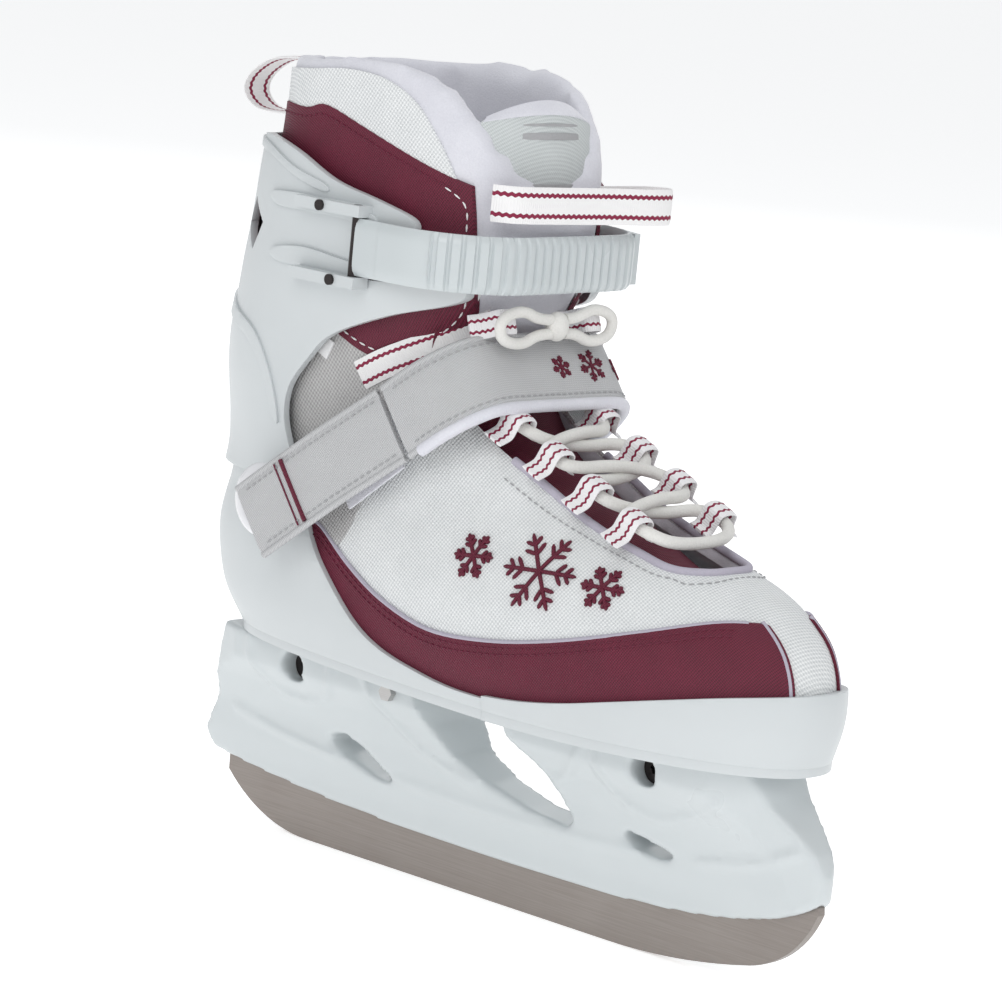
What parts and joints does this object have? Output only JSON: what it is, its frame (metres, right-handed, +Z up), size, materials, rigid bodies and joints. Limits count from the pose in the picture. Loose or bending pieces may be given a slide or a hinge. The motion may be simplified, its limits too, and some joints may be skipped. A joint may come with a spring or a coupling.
{
  "type": "ice skate",
  "caption": "Recreational soft-boot ice skate for the left foot: steel blade in a plastic holder, laced padded boot, hinged cuff, ratchet ladder strap and hook-and-loop instep strap.",
  "frame": {"origin": "on the running edge of the blade, in the blade's middle plane, below the ankle-to-ball stretch of the foot", "axes": "+X towards the toe, +Y towards the wearer's left (outer side of this left skate), +Z up"},
  "size_m": [0.302, 0.1203, 0.2915],
  "materials": {
    "blade_steel": "brushed",
    "holder_plastic": "satin",
    "dark_steel": "blackened",
    "shell_plastic": "satin",
    "strap_plastic": "satin",
    "board": "matt fibre board",
    "foam": "brushed cloth on foam",
    "lining": "soft cloth",
    "plush": "soft plush",
    "burgundy_weave": "coarse weave",
    "grey_mesh": "mesh",
    "white_mesh": "mesh",
    "tongue_fabric": "fine weave",
    "grey_webbing": "woven",
    "ribbon": "grosgrain with thin stripes",
    "lace": "braided",
    "cap_white": "gloss"
  },
  "bodies": {
    "boot": {"blade": "blade_steel", "blade_holder": "holder_plastic", "holder_bolts": "dark_steel", "holder_nuts": "dark_steel", "pillar_screws": "dark_steel", "heel_cup_sole": "shell_plastic", "toe_rand": "shell_plastic", "sole_screws": "dark_steel", "lasting_board": "board", "foot_bed": "foam", "side_panel_medial": "burgundy_weave", "side_panel_lateral": "burgundy_weave", "quarter_medial": "grey_mesh", "quarter_lateral": "grey_mesh", "vamp": "white_mesh", "lower_lining": "lining", "tongue_lower": "burgundy_weave", "pivot_rivets": "dark_steel", "pivot_caps": "cap_white", "instep_strap": "grey_webbing", "strap_underlay": "plush", "loop_patch": "plush", "strap_rivet": "dark_steel", "lace_loops_lower": "ribbon", "lace_lower": "lace"},
    "cuff": {"cuff": "shell_plastic", "collar_padding": "plush", "collar_panel_medial": "burgundy_weave", "collar_panel_lateral": "burgundy_weave", "collar_mesh": "white_mesh", "tongue_upper": "tongue_fabric", "strap_lugs": "shell_plastic", "strap_hinge_pin": "dark_steel", "strap_screws": "dark_steel", "buckle_base": "shell_plastic", "buckle_rivet": "dark_steel", "lever_pin": "dark_steel", "pawl_pin": "dark_steel", "pawl_springs": "dark_steel", "lace_loops_upper": "ribbon", "lace_bow": "lace", "heel_pull_loop": "ribbon", "front_pull_loop": "ribbon"},
    "ladder_strap": {"ladder_strap": "strap_plastic"},
    "buckle_lever": {"buckle_lever": "strap_plastic"},
    "buckle_pawl": {"buckle_pawl": "strap_plastic"},
    "strap_tab": {"strap_tab": "grey_webbing", "hook_patch": "plush"}
  },
  "joints": [
    {"name": "cuff_flex", "type": "hinge", "parent": "boot", "child": "cuff", "pos_m": [-0.078, 0, 0.1315], "axis": [0, 1, 0], "range_deg": [-2, 10], "stiffness_Nm_per_rad": 60, "deforming": ["instep_strap"]},
    {"name": "ladder_strap_swing", "type": "hinge", "parent": "cuff", "child": "ladder_strap", "pos_m": [-0.041, -0.05165, 0.227], "axis": [0, 0, -1], "range_deg": [0, 75]},
    {"name": "lever_lift", "type": "hinge", "parent": "cuff", "child": "buckle_lever", "pos_m": [-0.038, 0.06053, 0.227], "axis": [0, 0, 1], "range_deg": [0, 65], "stiffness_Nm_per_rad": 0.05},
    {"name": "pawl_release", "type": "hinge", "parent": "cuff", "child": "buckle_pawl", "pos_m": [-0.054, 0.05973, 0.227], "axis": [0, 0, 1], "range_deg": [0, 10], "stiffness_Nm_per_rad": 0.1},
    {"name": "strap_tab_peel", "type": "hinge", "parent": "boot", "child": "strap_tab", "pos_m": [-0.02077, -0.0468, 0.16821], "axis": [-0.6157, 0, 0.788], "range_deg": [0, 95]}
  ]
}
